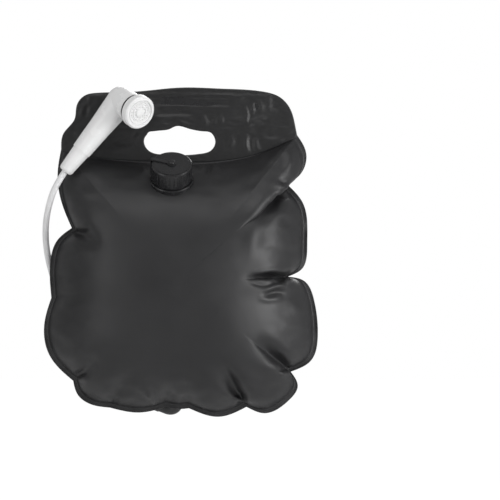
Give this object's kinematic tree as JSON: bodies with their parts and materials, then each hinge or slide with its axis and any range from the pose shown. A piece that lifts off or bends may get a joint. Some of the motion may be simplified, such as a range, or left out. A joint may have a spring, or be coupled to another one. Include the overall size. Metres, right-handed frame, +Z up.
{
  "type": "portable shower",
  "caption": "Hanging black water bag with a grip hole, tethered screw cap, bottom outlet, hose and a twist-valve handset.",
  "frame": {"origin": "middle of the grip hole's upper edge, where a hook or hand carries the full bag", "axes": "+Z up, +X to the right of someone facing the bag's front, +Y from the front to the back"},
  "size_m": [0.3907, 0.1992, 0.4679],
  "materials": {
    "bag_fabric": "matte coated fabric, soft wide highlights",
    "band_fabric": "matte coated fabric",
    "stiffener": "plain",
    "black_plastic": "satin moulding",
    "black_soft_plastic": "soft matte moulding",
    "seal_rubber": "matte",
    "clear_grey_plastic": "smooth",
    "hose_silicone": "translucent grey white, smooth",
    "clip_steel": "plain",
    "white_plastic": "gloss white moulding",
    "grey_plastic": "plain moulding",
    "eyelet_metal": "black lacquered",
    "elastic_cord": "braided, matte"
  },
  "bodies": {
    "bag": {"front_panel": "bag_fabric", "back_panel": "bag_fabric", "handle_band": "band_fabric", "handle_bar": "stiffener", "filler_neck": "black_plastic", "tether_ring": "black_plastic", "tether_strap": "black_soft_plastic", "outlet_flange": "black_plastic", "outlet_elbow": "black_soft_plastic", "outlet_barb": "clear_grey_plastic", "hose": "hose_silicone", "hose_barb": "clear_grey_plastic", "hose_clip": "clip_steel", "handset_tail": "white_plastic", "handset_body": "white_plastic", "valve_seat": "grey_plastic", "valve_seal": "seal_rubber", "collar_seal": "seal_rubber", "band_eyelet_front": "eyelet_metal", "band_eyelet_back": "eyelet_metal", "neck_loop": "elastic_cord", "cord_lock_body": "black_plastic", "cord_lock_spring": "clip_steel", "cord_tail_left": "elastic_cord", "cord_tail_right": "elastic_cord"},
    "tether_eye": {"tether_eyelet": "black_soft_plastic"},
    "cap": {"filler_cap": "black_plastic", "cap_gasket": "seal_rubber", "cap_pin": "black_plastic"},
    "spray_head": {"spray_collar": "white_plastic", "spray_plate": "white_plastic", "valve_rotor": "grey_plastic", "face_button": "white_plastic", "plate_screw": "clip_steel"},
    "lock_plunger": {"cord_lock_plunger": "black_plastic"}
  },
  "joints": [
    {"name": "cap_lift", "type": "slide", "parent": "bag", "child": "tether_eye", "axis": [0, -0.6157, 0.788], "range_m": [0, 0.0045], "deforming": ["tether_strap"]},
    {"name": "cap_turn", "type": "hinge", "parent": "tether_eye", "child": "cap", "pos_m": [-0.011, -0.04272, -0.0744], "axis": [0, -0.6157, 0.788], "range_deg": [0, 540]},
    {"name": "collar_twist", "type": "hinge", "parent": "bag", "child": "spray_head", "pos_m": [-0.0578, -0.07394, 0.0209], "axis": [0.5445, -0.7543, -0.3667], "range_deg": [0, 90]},
    {"name": "lock_press", "type": "slide", "parent": "bag", "child": "lock_plunger", "axis": [-1, 0, 0], "range_m": [0, 0.0038], "stiffness_N_per_m": 300, "springref_m": -0.003, "deforming": ["cord_lock_spring"]}
  ],
  "couplings": [
    {"joint": "cap_turn", "follows": "cap_lift", "rad_per_m": 2094.4}
  ]
}
